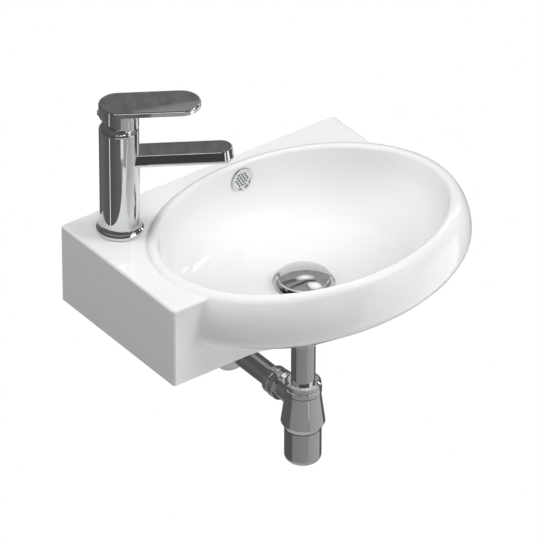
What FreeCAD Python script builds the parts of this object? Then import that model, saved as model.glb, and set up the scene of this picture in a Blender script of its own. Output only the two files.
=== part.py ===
import FreeCAD, Part
import math
import os

import Sketcher
from FreeCAD import Placement, Rotation, Vector

doc = FreeCAD.newDocument("wall_basin")
sheet = doc.addObject("Spreadsheet::Sheet", "Sizes")
nodes = []


# Sizes and formulas

class Dim:
    """A length or angle: its value now, and the sheet formula that drives it."""

    def __init__(self, value, text):
        self.value = float(value)
        self.text = text

    def __add__(self, other):
        other = dim(other)
        return Dim(self.value + other.value, f"({self.text} + {other.text})")

    def __sub__(self, other):
        other = dim(other)
        return Dim(self.value - other.value, f"({self.text} - {other.text})")

    def __mul__(self, other):
        other = dim(other)
        return Dim(self.value * other.value, f"({self.text} * {other.text})")

    def __truediv__(self, other):
        other = dim(other)
        return Dim(self.value / other.value, f"({self.text} / {other.text})")

    def __rsub__(self, other):
        return dim(other) - self

    def __neg__(self):
        return Dim(-self.value, f"(-1 * {self.text})")

    __radd__ = __add__
    __rmul__ = __mul__


def dim(value):
    return value if isinstance(value, Dim) else Dim(value, repr(float(value)))


def sin(angle):
    return Dim(math.sin(math.radians(angle.value)), f"sin({angle.text})")


def cos(angle):
    return Dim(math.cos(math.radians(angle.value)), f"cos({angle.text})")


def tan(angle):
    return Dim(math.tan(math.radians(angle.value)), f"tan({angle.text})")


def root(square):
    return Dim(math.sqrt(square.value), f"sqrt({square.text})")


row_number = 0


def size(alias, value, note):
    """Write one driving dimension into the sheet and return it."""
    global row_number
    row_number += 1
    sheet.set(f"A{row_number}", note)
    sheet.set(f"B{row_number}", str(value))
    sheet.setAlias(f"B{row_number}", alias)
    return Dim(value, f"Sizes.{alias}")


# Driving dimensions: basin

shelf_width = size("shelf_width", 398, "tap shelf along the wall")
shelf_depth = size("shelf_depth", 222, "tap shelf out from the wall")
shelf_height = size("shelf_height", 104, "tap shelf top to bottom")
deck_level = size("deck_level", 78, "deck above the wall bolts")
shelf_round = size("shelf_round", 3.5, "rounding of the shelf's outer edges")
deck_thick = size("deck_thick", 14, "ceramic under the tap")
shelf_wall = size("shelf_wall", 12, "shelf's side walls")
back_wall = size("back_wall", 14, "shelf's wall against the building")
bowl_half_width = size("bowl_half_width", 215.5, "widest half of the oval along the wall")
bowl_back_gap = size("bowl_back_gap", 1.5, "oval's back in front of the wall")
shelf_past_axis = size("shelf_past_axis", 61.5, "shelf's front past the bowl's axis")
rim_rise = size("rim_rise", 4.5, "rim's crest above the deck")
rim_overhang = size("rim_overhang", 25.5, "widest line past the rim's crest")
rim_top_round = size("rim_top_round", 15, "rim's top outer rounding")
bulge_drop = size("bulge_drop", 43, "widest line below the deck")
bulge_round = size("bulge_round", 18, "rounding under the widest line")
bulge_turn = size("bulge_turn", 35, "how far that rounding turns in")
under_round = size("under_round", 40, "slower rounding below it")
under_slope = size("under_slope", 60, "underside's slope from upright")
lip_round = size("lip_round", 5, "rim's inner rounding")
wall_tilt = size("wall_tilt", 5, "bowl's inner wall from upright")
bowl_round = size("bowl_round", 62, "inner wall's sweep into the floor")
floor_slope = size("floor_slope", 4, "bowl floor's fall to the drain")
boss_radius = size("boss_radius", 42, "drain boss")
boss_deep = size("boss_deep", 8, "drain boss under the bowl")
drain_hole = size("drain_hole", 23, "radius of the drain hole")
seat_radius = size("seat_radius", 37, "round seat around the drain")
seat_depth = size("seat_depth", 90, "seat's floor below the deck")
seat_sink = size("seat_sink", 0.8, "seat's floor under the bowl floor's middle")
seat_floor = size("seat_floor", 20, "ceramic under the seat")
tap_hole = size("tap_hole", 17.5, "radius of the tap hole")
overflow_aside = size("overflow_aside", 9.5, "overflow hole right of the bowl's axis")
overflow_drop = size("overflow_drop", 17, "overflow hole below the deck")
overflow_hole = size("overflow_hole", 11, "radius of the overflow hole")
overflow_bore = size("overflow_bore", 4.5, "radius of the passage to the drain")
bolt_spacing = size("bolt_spacing", 200, "between the two wall bolts")
bolts_left = size("bolts_left", 33.5, "middle of the wall bolts left of the bowl's axis")
bolt_hole = size("bolt_hole", 8, "radius of the holes for the wall bolts")
rim_fillet = size("rim_fillet", 3, "hollow between deck and rim")
front_fillet = size("front_fillet", 16, "hollow between shelf front and bowl")

# Driving dimensions: wall fixings

bolt_radius = size("bolt_radius", 5, "M10 wall bolt")
anchor_step = size("anchor_step", 0.6, "bolt's anchor end under its thread's radius")
bolt_inside = size("bolt_inside", 34, "bolt's length in front of the wall")
bolt_in_wall = size("bolt_in_wall", 66, "bolt's length in the wall")
sleeve_lip = size("sleeve_lip", 13, "radius of the sleeve's lip")
sleeve_lip_thick = size("sleeve_lip_thick", 2, "thickness of the sleeve's lip")
fixing_washer_radius = size("fixing_washer_radius", 12, "radius of the fixing washer")
fixing_washer_thick = size("fixing_washer_thick", 2, "fixing washer")
fixing_nut_flats = size("fixing_nut_flats", 17, "M10 nut across its flats")
fixing_nut_high = size("fixing_nut_high", 8, "M10 nut")
free_fit = size("free_fit", 0.1, "radial play of loose fits")
running_fit = size("running_fit", 0.05, "radial play of running fits")

# Driving dimensions: tap

tap_from_left = size("tap_from_left", 50.7, "tap axis from the shelf's left end")
tap_out = size("tap_out", 46.2, "tap axis from the wall")
tap_to_bowl = size("tap_to_bowl", 31.996, "tap axis to the oval, along the wall")
spout_turn = size("spout_turn", 32.1, "spout's turn from the wall line towards the drain")
tap_radius = size("tap_radius", 23.4, "tap body")
tap_foot_radius = size("tap_foot_radius", 25.4, "tap body's flared foot")
tap_flare = size("tap_flare", 6, "height of the flare")
ring_radius = size("ring_radius", 27.8, "base ring")
ring_high = size("ring_high", 5, "base ring")
ring_bevel = size("ring_bevel", 1.6, "base ring's bevel")
gasket_thick = size("gasket_thick", 1, "gasket under the base ring")
tap_top = size("tap_top", 140.5, "body's top above the deck")
spout_low = size("spout_low", 92.5, "spout's underside above the deck")
spout_thick = size("spout_thick", 16.5, "spout")
spout_half = size("spout_half", 13.4, "half the width of the spout's top")
spout_side = size("spout_side", 13, "spout's sides from upright")
spout_reach = size("spout_reach", 134.7, "spout's tip from the tap axis")
spout_under_round = size("spout_under_round", 4.5, "spout's lower edges")
spout_top_round = size("spout_top_round", 1.2, "spout's upper edges")
body_round = size("body_round", 1.5, "tap body's upper edge")
nipple_radius = size("nipple_radius", 7.5, "spout's nipple in the body")
nipple_start = size("nipple_start", 9.5, "nipple's end from the tap axis")
channel_radius = size("channel_radius", 4.5, "water channel in the spout")
channel_up = size("channel_up", 8, "water channel above the spout's underside")
mixing_forward = size("mixing_forward", 4.5, "mixed water's outlet ahead of the tap axis")
mixing_radius = size("mixing_radius", 3.8, "mixed water's outlet")
aerator_reach = size("aerator_reach", 120, "aerator from the tap axis")
aerator_radius = size("aerator_radius", 9.4, "aerator's bore in the spout")
aerator_deep = size("aerator_deep", 9, "depth of that bore")
aerator_lip = size("aerator_lip", 2.6, "aerator below the spout")
cartridge_seat = size("cartridge_seat", 112.5, "cartridge seat above the deck")
cavity_radius = size("cavity_radius", 17.6, "cartridge cavity")
thread_radius = size("thread_radius", 18.6, "thread for the cartridge nut")
thread_deep = size("thread_deep", 8, "thread for the cartridge nut")
inlet_back = size("inlet_back", 5.5, "inlets behind the tap axis")
inlet_aside = size("inlet_aside", 6.5, "inlets to each side")
inlet_radius = size("inlet_radius", 3, "inlet bores")
inlet_thread = size("inlet_thread", 4.5, "M10x1 hose threads, bored")
inlet_deep = size("inlet_deep", 16, "hose threads")
block_radius = size("block_radius", 19, "hose block in the tap's foot")
block_high = size("block_high", 22, "hose block")
stud_forward = size("stud_forward", 9, "fixing stud ahead of the tap axis")
stud_radius = size("stud_radius", 4, "M8 fixing stud")
stud_deep = size("stud_deep", 14, "stud in the body")
stud_long = size("stud_long", 62, "stud below the deck")
shoe_radius = size("shoe_radius", 21, "horseshoe washer")
shoe_cut = size("shoe_cut", 14.5, "horseshoe's cut for the hoses")
shoe_gasket_thick = size("shoe_gasket_thick", 2, "horseshoe gasket")
shoe_thick = size("shoe_thick", 2.5, "horseshoe washer")
stud_nut_flats = size("stud_nut_flats", 13, "M8 nut across its flats")
stud_nut_high = size("stud_nut_high", 10, "M8 nut")

# Driving dimensions: cartridge and lever

seal_thick = size("seal_thick", 1, "seal under the cartridge")
housing_step = size("housing_step", 15.8, "housing's neck")
housing_high = size("housing_high", 28.5, "housing")
housing_shoulder = size("housing_shoulder", 19.2, "housing's shoulder above its underside")
housing_cavity = size("housing_cavity", 13.5, "housing's bore")
housing_floor = size("housing_floor", 3, "housing's floor")
housing_lip = size("housing_lip", 11.2, "opening in the housing's top")
housing_lip_thick = size("housing_lip_thick", 1.6, "housing's top")
disc_thick = size("disc_thick", 3, "ceramic discs")
moving_disc_radius = size("moving_disc_radius", 10.6, "moving disc")
disc_stroke = size("disc_stroke", 4.6, "moving disc's travel")
carrier_neck = size("carrier_neck", 11, "carrier's neck")
pivot_level = size("pivot_level", 134.5, "stem's pivot above the deck")
pin_radius = size("pin_radius", 2, "stem pin")
stem_half = size("stem_half", 4, "half the stem's width")
stem_top = size("stem_top", 164.5, "stem's top above the deck")
stem_foot = size("stem_foot", 2.2, "stem's foot in the moving disc")
hub_front = size("hub_front", 143.5, "hub's lower edge at the front, above the deck")
hub_back = size("hub_back", 158.5, "hub's lower edge at the back, above the deck")
hub_wall = size("hub_wall", 2.2, "hub's wall")
hub_roof = size("hub_roof", 156, "hub's cavity above the deck")
plate_low = size("plate_low", 167.1, "lever plate's underside above the deck")
plate_thick = size("plate_thick", 6.4, "lever plate")
plate_reach = size("plate_reach", 95, "lever's tip from the tap axis")
plate_round = size("plate_round", 1.6, "lever plate's edges")
grub_level = size("grub_level", 161.7, "grub screw above the deck")
grub_radius = size("grub_radius", 2.5, "M5 grub screw")
grub_long = size("grub_long", 10, "grub screw")
index_radius = size("index_radius", 3.2, "index plug")
index_deep = size("index_deep", 5, "index plug in the hub")
index_proud = size("index_proud", 1.6, "index plug out of the hub")
bonnet_radius = size("bonnet_radius", 20.7, "bonnet")
bonnet_high = size("bonnet_high", 8.2, "bonnet's dome")
bonnet_sweep = size("bonnet_sweep", 13, "bonnet dome's rounding")
bonnet_hole = size("bonnet_hole", 11.6, "bonnet's opening")
bonnet_skin = size("bonnet_skin", 1.4, "bonnet's thickness")

# Driving dimensions: waste

flange_radius = size("flange_radius", 33, "waste flange")
flange_thick = size("flange_thick", 2.5, "waste flange")
upper_seal_thick = size("upper_seal_thick", 1.5, "seal under the flange")
waste_radius = size("waste_radius", 21, "threaded waste tube")
waste_bore = size("waste_bore", 18.5, "waste tube's bore")
throat_radius = size("throat_radius", 22, "mouth of the waste")
throat_deep = size("throat_deep", 4, "conical mouth")
waste_past = size("waste_past", 30, "threaded tube past the drain boss")
socket_long = size("socket_long", 22, "tailpiece socket")
socket_radius = size("socket_radius", 17.2, "tailpiece socket")
lower_gasket_thick = size("lower_gasket_thick", 4, "gasket under the boss")
back_nut_radius = size("back_nut_radius", 28, "back nut")
back_nut_high = size("back_nut_high", 12, "back nut")
slot_half = size("slot_half", 4, "half the overflow slot's width")
slot_high = size("slot_high", 12, "overflow slot")
cap_radius = size("cap_radius", 31, "plug cap")
cap_edge = size("cap_edge", 2.6, "plug cap's upright edge")
cap_dome = size("cap_dome", 4.6, "plug cap's dome")
plug_travel = size("plug_travel", 6, "plug's push")
plug_gap = size("plug_gap", 0.6, "cap above the flange when pushed")
plug_boss = size("plug_boss", 6.5, "boss under the cap")
plug_seal_radius = size("plug_seal_radius", 19.4, "plug's seal")
plug_seal_thick = size("plug_seal_thick", 3.2, "plug's seal")
plug_stem_radius = size("plug_stem_radius", 4, "plug stem")
plug_stem_past = size("plug_stem_past", 12, "plug stem past the guide")
guide_under = size("guide_under", 23, "guide's top under the seat")
guide_high = size("guide_high", 7, "guide")
guide_sleeve = size("guide_sleeve", 7.5, "guide's sleeve")
guide_hole = size("guide_hole", 4.2, "radius of the guide's water holes")
spring_wire = size("spring_wire", 0.7, "radius of the spring's wire")
spring_radius = size("spring_radius", 5.6, "spring's coil")
spring_turns = size("spring_turns", 5, "spring's coils")

# Driving dimensions: trap

tail_radius = size("tail_radius", 14.6, "tailpiece")
tail_wall = size("tail_wall", 1.2, "tailpiece's wall")
tail_end = size("tail_end", 312, "dip tube's end below the deck")
tail_in_socket = size("tail_in_socket", 20, "tailpiece in the waste's socket")
nut_top = size("nut_top", 224.5, "inlet nut's top below the deck")
nut_low = size("nut_low", 240.4, "inlet nut's lower edge below the deck")
nut_radius = size("nut_radius", 22.4, "inlet nut's lower ring")
nut_upper_radius = size("nut_upper_radius", 21.6, "inlet nut's upper ring")
nut_groove = size("nut_groove", 20.4, "groove between the nut's rings")
cone_top_radius = size("cone_top_radius", 21.3, "trap body under the nut")
cone_low = size("cone_low", 282.3, "cone's widest line below the deck")
cone_radius = size("cone_radius", 26.7, "cone's widest radius")
head_low = size("head_low", 289.6, "trap body's lower end below the deck")
neck_radius = size("neck_radius", 18.2, "trap body's threaded neck")
neck_top = size("neck_top", 231, "neck's top below the deck")
chamber_radius = size("chamber_radius", 20.6, "thread inside the trap body")
chamber_top = size("chamber_top", 275, "that thread's top below the deck")
well_radius = size("well_radius", 18.4, "water space around the tailpiece")
well_top = size("well_top", 246, "that space's top below the deck")
cup_radius = size("cup_radius", 22.4, "trap cup")
cup_wall = size("cup_wall", 2, "trap cup's wall")
cup_low = size("cup_low", 338.5, "trap cup's underside below the deck")
cup_round = size("cup_round", 8.5, "trap cup's lower rounding")
cup_neck_high = size("cup_neck_high", 14, "cup's threaded neck")
cup_gasket_thick = size("cup_gasket_thick", 1.5, "cup's gasket")
outlet_level = size("outlet_level", 256, "outlet pipe's axis below the deck")
outlet_radius = size("outlet_radius", 13.6, "outlet pipe")
outlet_wall = size("outlet_wall", 1.6, "outlet pipe's wall")
spigot_step = size("spigot_step", 0.8, "outlet pipe's end under its radius")
branch_radius = size("branch_radius", 14.9, "trap body's outlet branch")
branch_long = size("branch_long", 48, "branch's end from the trap axis")
outlet_nut_radius = size("outlet_nut_radius", 18.5, "outlet nut")
outlet_nut_start = size("outlet_nut_start", 38, "outlet nut's start from the trap axis")
outlet_nut_end = size("outlet_nut_end", 60, "outlet nut's end from the trap axis")
pipe_start = size("pipe_start", 40, "pipe's end in the branch from the trap axis")
pipe_in_wall = size("pipe_in_wall", 45, "pipe's length in the wall")
rosette_radius = size("rosette_radius", 29.5, "wall rosette")
rosette_deep = size("rosette_deep", 27, "wall rosette out from the wall")
rosette_skin = size("rosette_skin", 1.2, "wall rosette's thickness")
rosette_rim = size("rosette_rim", 34, "rosette's rim on the wall")
rosette_round = size("rosette_round", 3, "rosette's front rounding")
cover_radius = size("cover_radius", 15, "overflow cover")
cover_thick = size("cover_thick", 2.6, "overflow cover's ring")
cover_sink = size("cover_sink", 1, "cover's disc inside its ring")
cover_ring = size("cover_ring", 3.4, "width of the cover's ring")
cover_tube_long = size("cover_tube_long", 9, "cover's tube in the wall")
cover_hole = size("cover_hole", 1.35, "radius of the cover's holes")
cover_tilt = size("cover_tilt", 3.7, "cover's lean with the bowl's wall")
cover_seat = size("cover_seat", 0.7, "cover's seat let into the wall")
cover_pitch = size("cover_pitch", 4.1, "spacing of the cover's holes")

doc.recompute()

tap_x = tap_from_left - shelf_width / 2
bowl_out = shelf_depth - shelf_past_axis
bowl_half_depth = bowl_out - bowl_back_gap
oval = bowl_half_depth / bowl_half_width
rim_crest = bowl_half_width - rim_overhang
tap_behind = (bowl_out - tap_out) / bowl_half_depth
bowl_across = tap_x + tap_to_bowl + bowl_half_width * root(1 - tap_behind * tap_behind)
bolt_middle = bowl_across - bolts_left


# Drawing helpers

def plane(body, role):
    return [f for f in body.Origin.OriginFeatures if f.Role == role][0]


def sketch_on(body, role, lift=None):
    """An empty sketch on one of the body's own origin planes, lifted along its normal."""
    sketch = body.newObject("Sketcher::SketchObject", body.Label + "_sketch")
    sketch.AttachmentSupport = [(plane(body, role), "")]
    sketch.MapMode = "FlatFace"
    if lift is not None:
        sketch.setExpression(".AttachmentOffset.Base.z", lift.text)
    return sketch


def fix(sketch, kind, where, value):
    number = sketch.addConstraint(Sketcher.Constraint(kind, *where, value.value))
    sketch.setExpression(f"Constraints[{number}]", value.text)


def pin_point(sketch, line, end, across, up):
    """Hold one point of the sketch at its driven place."""
    fix(sketch, "DistanceX", (-1, 1, line, end), across)
    fix(sketch, "DistanceY", (-1, 1, line, end), up)


def arc_between(start, end, radius, bend):
    """Centre and ends of the short arc from start to end; bend is 1 to the left and -1 to the right."""
    middle = (start + end) / 2
    chord = end - start
    rise = math.sqrt(max(radius * radius - chord.Length ** 2 / 4, 0.0))
    side = Vector(-chord.y, chord.x, 0).normalize()
    return middle + side * rise * bend


def outline(sketch, path):
    """Close a run of points (across, up) or arcs (across, up, radius, bend), each arc ending at its point."""
    path = [tuple(dim(v) if i < 3 else v for i, v in enumerate(p)) for p in path]
    spots = [Vector(p[0].value, p[1].value, 0) for p in path]
    first = sketch.GeometryCount
    ends = []
    for i, goal in enumerate(path[1:] + path[:1]):
        a, b = spots[i], spots[(i + 1) % len(path)]
        number = first + i
        if len(goal) == 2:
            sketch.addGeometry(Part.LineSegment(a, b), False)
            ends.append((1, 2))
            continue
        centre = arc_between(a, b, goal[2].value, goal[3])
        from_angle = math.atan2(a.y - centre.y, a.x - centre.x)
        to_angle = math.atan2(b.y - centre.y, b.x - centre.x)
        circle = Part.Circle(centre, Vector(0, 0, 1), goal[2].value)
        if goal[3] > 0:
            sketch.addGeometry(Part.ArcOfCircle(circle, from_angle, to_angle), False)
            ends.append((1, 2))
        else:
            sketch.addGeometry(Part.ArcOfCircle(circle, to_angle, from_angle), False)
            ends.append((2, 1))
    count = len(path)
    for i in range(count):
        after = (i + 1) % count
        join = (first + i, ends[i][1], first + after, ends[after][0])
        sketch.addConstraint(Sketcher.Constraint("Coincident", *join))
    for i in range(count):
        pin_point(sketch, first + i, ends[i][0], path[i][0], path[i][1])
        goal = path[(i + 1) % count]
        if len(goal) == 4:
            fix(sketch, "Radius", (first + i,), goal[2])


def disc(sketch, across, up, radius):
    """A circle at a driven place."""
    across, up, radius = dim(across), dim(up), dim(radius)
    circle = Part.Circle(Vector(across.value, up.value, 0), Vector(0, 0, 1), radius.value)
    number = sketch.addGeometry(circle, False)
    pin_point(sketch, number, 3, across, up)
    fix(sketch, "Radius", (number,), radius)


def new_body(label):
    return doc.addObject("PartDesign::Body", label)


def turn(body, path):
    """Turn a closed profile (radius, height) about the body's Z axis."""
    sketch = sketch_on(body, "XZ_Plane")
    outline(sketch, path)
    feature = body.newObject("PartDesign::Revolution", body.Label + "_turn")
    feature.Profile = sketch
    feature.ReferenceAxis = (sketch, ["V_Axis"])
    feature.Angle = 360
    doc.recompute()
    return feature


def groove(body, path):
    """Turn a closed profile out of the body."""
    sketch = sketch_on(body, "XZ_Plane")
    outline(sketch, path)
    feature = body.newObject("PartDesign::Groove", body.Label + "_groove")
    feature.Profile = sketch
    feature.ReferenceAxis = (sketch, ["V_Axis"])
    feature.Angle = 360
    doc.recompute()
    return feature


def raised(body, sketch, length, down=False):
    feature = body.newObject("PartDesign::Pad", body.Label + "_pad")
    feature.Profile = sketch
    feature.Reversed = down
    feature.setExpression("Length", dim(length).text)
    doc.recompute()
    return feature


def cut(body, sketch, length=None, reverse=False, both=False):
    """Pocket a sketch through the body, or to a driven depth, and make sure that it removed something."""
    before = body.Shape.Volume
    feature = body.newObject("PartDesign::Pocket", body.Label + "_pocket")
    feature.Profile = sketch
    feature.Reversed = reverse
    if both:
        feature.Midplane = True
    if length is None:
        feature.Type = "ThroughAll"
    else:
        feature.setExpression("Length", dim(length).text)
    doc.recompute()
    if not body.Shape.Volume < before:
        raise RuntimeError(f"a pocket of {body.Label} cut nothing")
    return feature


def dress(body, base, edges, radius, kind="Fillet"):
    """Round or bevel the edges that a test picks out of the base feature."""
    names = [f"Edge{i + 1}" for i, e in enumerate(base.Shape.Edges) if edges(e)]
    if not names:
        raise RuntimeError(f"no edges to dress on {body.Label}")
    feature = body.newObject(f"PartDesign::{kind}", body.Label + "_" + kind.lower())
    feature.Base = (base, names)
    feature.setExpression("Radius" if kind == "Fillet" else "Size", radius.text)
    doc.recompute()
    return feature


def ring_edge(radius, height):
    """A test for the turned edge at this radius and height."""
    radius, height = dim(radius).value, dim(height).value

    def found(edge):
        if edge.Degenerated:
            return False
        curve = edge.Curve
        if curve.TypeId != "Part::GeomCircle" or abs(curve.Radius - radius) > 0.01:
            return False
        return abs(curve.Center.z - height) < 0.01 and abs(curve.Center.x) < 0.01
    return found


def flat_edge(height):
    """A test for edges that lie level at this height."""
    height = dim(height).value
    return lambda e: abs(e.BoundBox.ZMin - height) < 0.01 and abs(e.BoundBox.ZMax - height) < 0.01


def put(thing, across, out, up, axis=None, angle=None):
    """Place an object: driven position, and a fixed or driven turn."""
    if axis is not None:
        angle = dim(angle)
        thing.Placement = Placement(Vector(0, 0, 0), Rotation(axis, angle.value))
        thing.setExpression(".Placement.Rotation.Angle", angle.text)
    for letter, value in zip("xyz", (across, out, up)):
        thing.setExpression(f".Placement.Base.{letter}", dim(value).text)
    doc.recompute()
    return thing


def keep(thing):
    nodes.append(thing)
    return thing


X_AXIS = Vector(1, 0, 0)
Z_DOWN = Vector(0, 0, -1)


def on_deck(thing, up=0):
    """Stand a piece on the tap's axis, turned with the spout."""
    return keep(put(thing, tap_x, -tap_out, deck_level + up, Z_DOWN, spout_turn))


def at_drain(thing, up=0):
    """Hang a piece on the drain's axis, heights counted from the deck."""
    return keep(put(thing, bowl_across, -bowl_out, deck_level + up))


def tube(label, inner, outer, low, high):
    """A plain turned ring."""
    body = new_body(label)
    turn(body, [(inner, low), (outer, low), (outer, high), (inner, high)])
    return body


def hexagon(sketch, flats, across=0):
    """A regular hexagon, flats facing up and down."""
    corner = dim(flats) / root(dim(3))
    half = corner / 2
    rise = dim(flats) / 2
    spots = [(corner, 0), (half, rise), (-half, rise), (-corner, 0), (-half, -rise), (half, -rise)]
    outline(sketch, [(dim(x) + across, dim(y)) for x, y in spots])


# Basin: shelf, bowl, holes

shelf = new_body("shelf")
shelf_plan = sketch_on(shelf, "XY_Plane")
half_shelf = shelf_width / 2
outline(shelf_plan, [
    (-half_shelf, -shelf_depth), (half_shelf, -shelf_depth), (half_shelf, 0), (-half_shelf, 0)])
shelf_block = raised(shelf, shelf_plan, shelf_height, down=True)


def shelf_edge(edge):
    """Upright front corners and the deck's front, left and right edges."""
    box = edge.BoundBox
    front = abs(box.YMin + shelf_depth.value) < 0.01
    top = box.ZMin > -0.01
    upright = box.ZLength > shelf_height.value - 0.01
    against_wall = box.YMin > -0.01
    return (front and upright) or (top and not against_wall)


dress(shelf, shelf_block, shelf_edge, shelf_round)
hollow = sketch_on(shelf, "XY_Plane", -shelf_height)
outline(hollow, [
    (-half_shelf + shelf_wall, -shelf_depth + shelf_wall),
    (half_shelf - shelf_wall, -shelf_depth + shelf_wall),
    (half_shelf - shelf_wall, -back_wall),
    (-half_shelf + shelf_wall, -back_wall)])
cut(shelf, hollow, shelf_height - deck_thick, reverse=True)
put(shelf, 0, 0, deck_level)

foot_drop = seat_depth + seat_floor
boss_drop = foot_drop + boss_deep
crest_rise = rim_rise + bulge_drop
side_lean = crest_rise - rim_top_round
side_round = (side_lean * side_lean + rim_overhang * rim_overhang - rim_top_round * rim_top_round) / (
    2 * (rim_overhang - rim_top_round))
top_share = rim_top_round / (side_round - rim_top_round)
top_joint_r = rim_crest - top_share * (bowl_half_width - side_round - rim_crest)
top_joint_z = (rim_rise - rim_top_round) + top_share * side_lean
bulge_r = bowl_half_width - bulge_round * (1 - cos(bulge_turn))
bulge_z = -bulge_drop - bulge_round * sin(bulge_turn)
under_r = bulge_r - under_round * (cos(bulge_turn) - cos(under_slope))
under_z = bulge_z - under_round * (sin(under_slope) - sin(bulge_turn))
foot_r = under_r - (foot_drop + under_z) * tan(under_slope)
lip_z = rim_rise - lip_round * (1 - sin(wall_tilt))
lip_r = rim_crest - lip_round * cos(wall_tilt)
floor_z = seat_sink - seat_depth
sweep_in = bowl_round * (cos(wall_tilt) - sin(floor_slope))
sweep_down = bowl_round * (cos(floor_slope) - sin(wall_tilt))
floor_fall = (lip_r - lip_z * tan(wall_tilt) - sweep_in) * tan(floor_slope)
wall_drop = -(floor_z + sweep_down + floor_fall) / (1 - tan(wall_tilt) * tan(floor_slope))
wall_r = lip_r - (wall_drop + lip_z) * tan(wall_tilt)
sweep_r = wall_r - sweep_in
sweep_z = -wall_drop - sweep_down

bowl_round_form = new_body("bowl_round_form")
turn(bowl_round_form, [
    (0, floor_z), (0, -foot_drop), (foot_r, -foot_drop), (under_r, under_z),
    (bulge_r, bulge_z, under_round, 1), (bowl_half_width, -bulge_drop, bulge_round, 1), (top_joint_r, top_joint_z, side_round, 1),
    (rim_crest, rim_rise, rim_top_round, 1), (lip_r, lip_z, lip_round, 1), (wall_r, -wall_drop),
    (sweep_r, sweep_z, bowl_round, -1)])
bowl = doc.addObject("Part::Scale", "bowl")
bowl.Base = bowl_round_form
bowl.Uniform = False
bowl.setExpression("YScale", oval.text)
put(bowl, bowl_across, -bowl_out, deck_level)

core_r = (lip_r + bowl_half_width) / 2
core_form = new_body("core_form")
turn(core_form, [
    (0, (floor_z - foot_drop) / 2), (sweep_r, (floor_z - foot_drop) / 2),
    (core_r, -bulge_drop), (rim_crest + rim_top_round / 2, rim_rise * 2), (0, rim_rise * 2)])
core = doc.addObject("Part::Scale", "core")
core.Base = core_form
core.Uniform = False
core.setExpression("YScale", oval.text)
put(core, bowl_across, -bowl_out, deck_level)

opened = doc.addObject("Part::Cut", "opened")
opened.Base = shelf
opened.Tool = core
joined = doc.addObject("Part::Fuse", "joined")
joined.Base = opened
joined.Tool = bowl
doc.recompute()


def blend_radius(edge):
    """Hollow wanted along this edge of shelf and bowl: small on the deck, growing down the front."""
    if edge.Degenerated or edge.Length < 0.5:
        return None
    straight = edge.Curve.TypeId == "Part::GeomLine"
    box = edge.BoundBox
    beyond_shelf = box.YMin < -shelf_depth.value - 0.01 or box.XMax > half_shelf.value + 0.01
    shelf_corner = box.YMax > -0.01 or box.XMax < -half_shelf.value + shelf_round.value + 0.01
    if straight or beyond_shelf or shelf_corner or box.ZMax > deck_level.value + 0.01:
        return None
    middle = (box.ZMin + box.ZMax) / 2
    at_front = box.YMax < -shelf_depth.value + 0.01
    if at_front and box.XMax < bowl_across.value:
        grown = (deck_level.value - middle) / (shelf_height.value - shelf_height.value / 4)
        return rim_fillet.value + (front_fillet.value - rim_fillet.value) * min(grown, 1.0)
    if at_front and box.XMax < half_shelf.value - shelf_round.value:
        return None
    on_deck_face = box.ZMin > deck_level.value - 0.01
    at_corner = middle > deck_level.value - shelf_round.value and box.YMin < -shelf_depth.value / 2
    at_end = box.XMin > half_shelf.value - shelf_round.value - 0.01 and middle > deck_level.value - bulge_drop.value
    if on_deck_face or at_corner or at_end:
        return rim_fillet.value
    return None


blended = doc.addObject("Part::Fillet", "blended")
blended.Base = joined
graded = [(i + 1, blend_radius(e)) for i, e in enumerate(joined.Shape.Edges)]
blended.Edges = [(i, r, r) for i, r in graded if r is not None]
doc.recompute()


def rod(label, radius, height):
    """A plain cylinder for cutting or joining."""
    thing = doc.addObject("Part::Cylinder", label)
    thing.setExpression("Radius", dim(radius).text)
    thing.setExpression("Height", dim(height).text)
    return thing


boss = rod("boss", boss_radius, boss_drop + (floor_z - foot_drop) / 2)
put(boss, bowl_across, -bowl_out, deck_level - boss_drop)
solid_basin = doc.addObject("Part::Fuse", "solid_basin")
solid_basin.Base = blended
solid_basin.Tool = boss

overflow_y = (lip_r - (overflow_drop + lip_z) * tan(wall_tilt)) * oval - bowl_out
seat_y = overflow_y + cover_seat
overflow_x = bowl_across + overflow_aside
overflow_z = deck_level - overflow_drop
drain_cut = put(rod("drain_cut", drain_hole, boss_drop), bowl_across, -bowl_out, deck_level - boss_drop - 1)
seat_cut = put(rod("seat_cut", seat_radius, seat_depth / 3), bowl_across, -bowl_out, deck_level - seat_depth)
tap_cut = put(rod("tap_cut", tap_hole, deck_thick * 2), tap_x, -tap_out, deck_level - deck_thick * 1.5)
bolt_cuts = [
    put(rod(f"bolt_cut_{name}", bolt_hole, back_wall * 2), bolt_middle + side * bolt_spacing / 2,
        back_wall / 2, 0, X_AXIS, 90)
    for name, side in (("left", -1), ("right", 1))]
cover_cut = rod("cover_cut", cover_radius + free_fit * 2, cover_thick * 4)
put(cover_cut, overflow_x, seat_y, overflow_z, X_AXIS, 90 - cover_tilt)
throat_back = cover_tube_long + 1
throat_cut = rod("throat_cut", overflow_hole, throat_back + cover_thick)
throat_y = seat_y + throat_back * cos(cover_tilt)
throat_z = overflow_z - throat_back * sin(cover_tilt)
put(throat_cut, overflow_x, throat_y, throat_z, X_AXIS, 90 - cover_tilt)

# The overflow's way down to the drain runs inside the casting, and is the one swept cut

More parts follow.
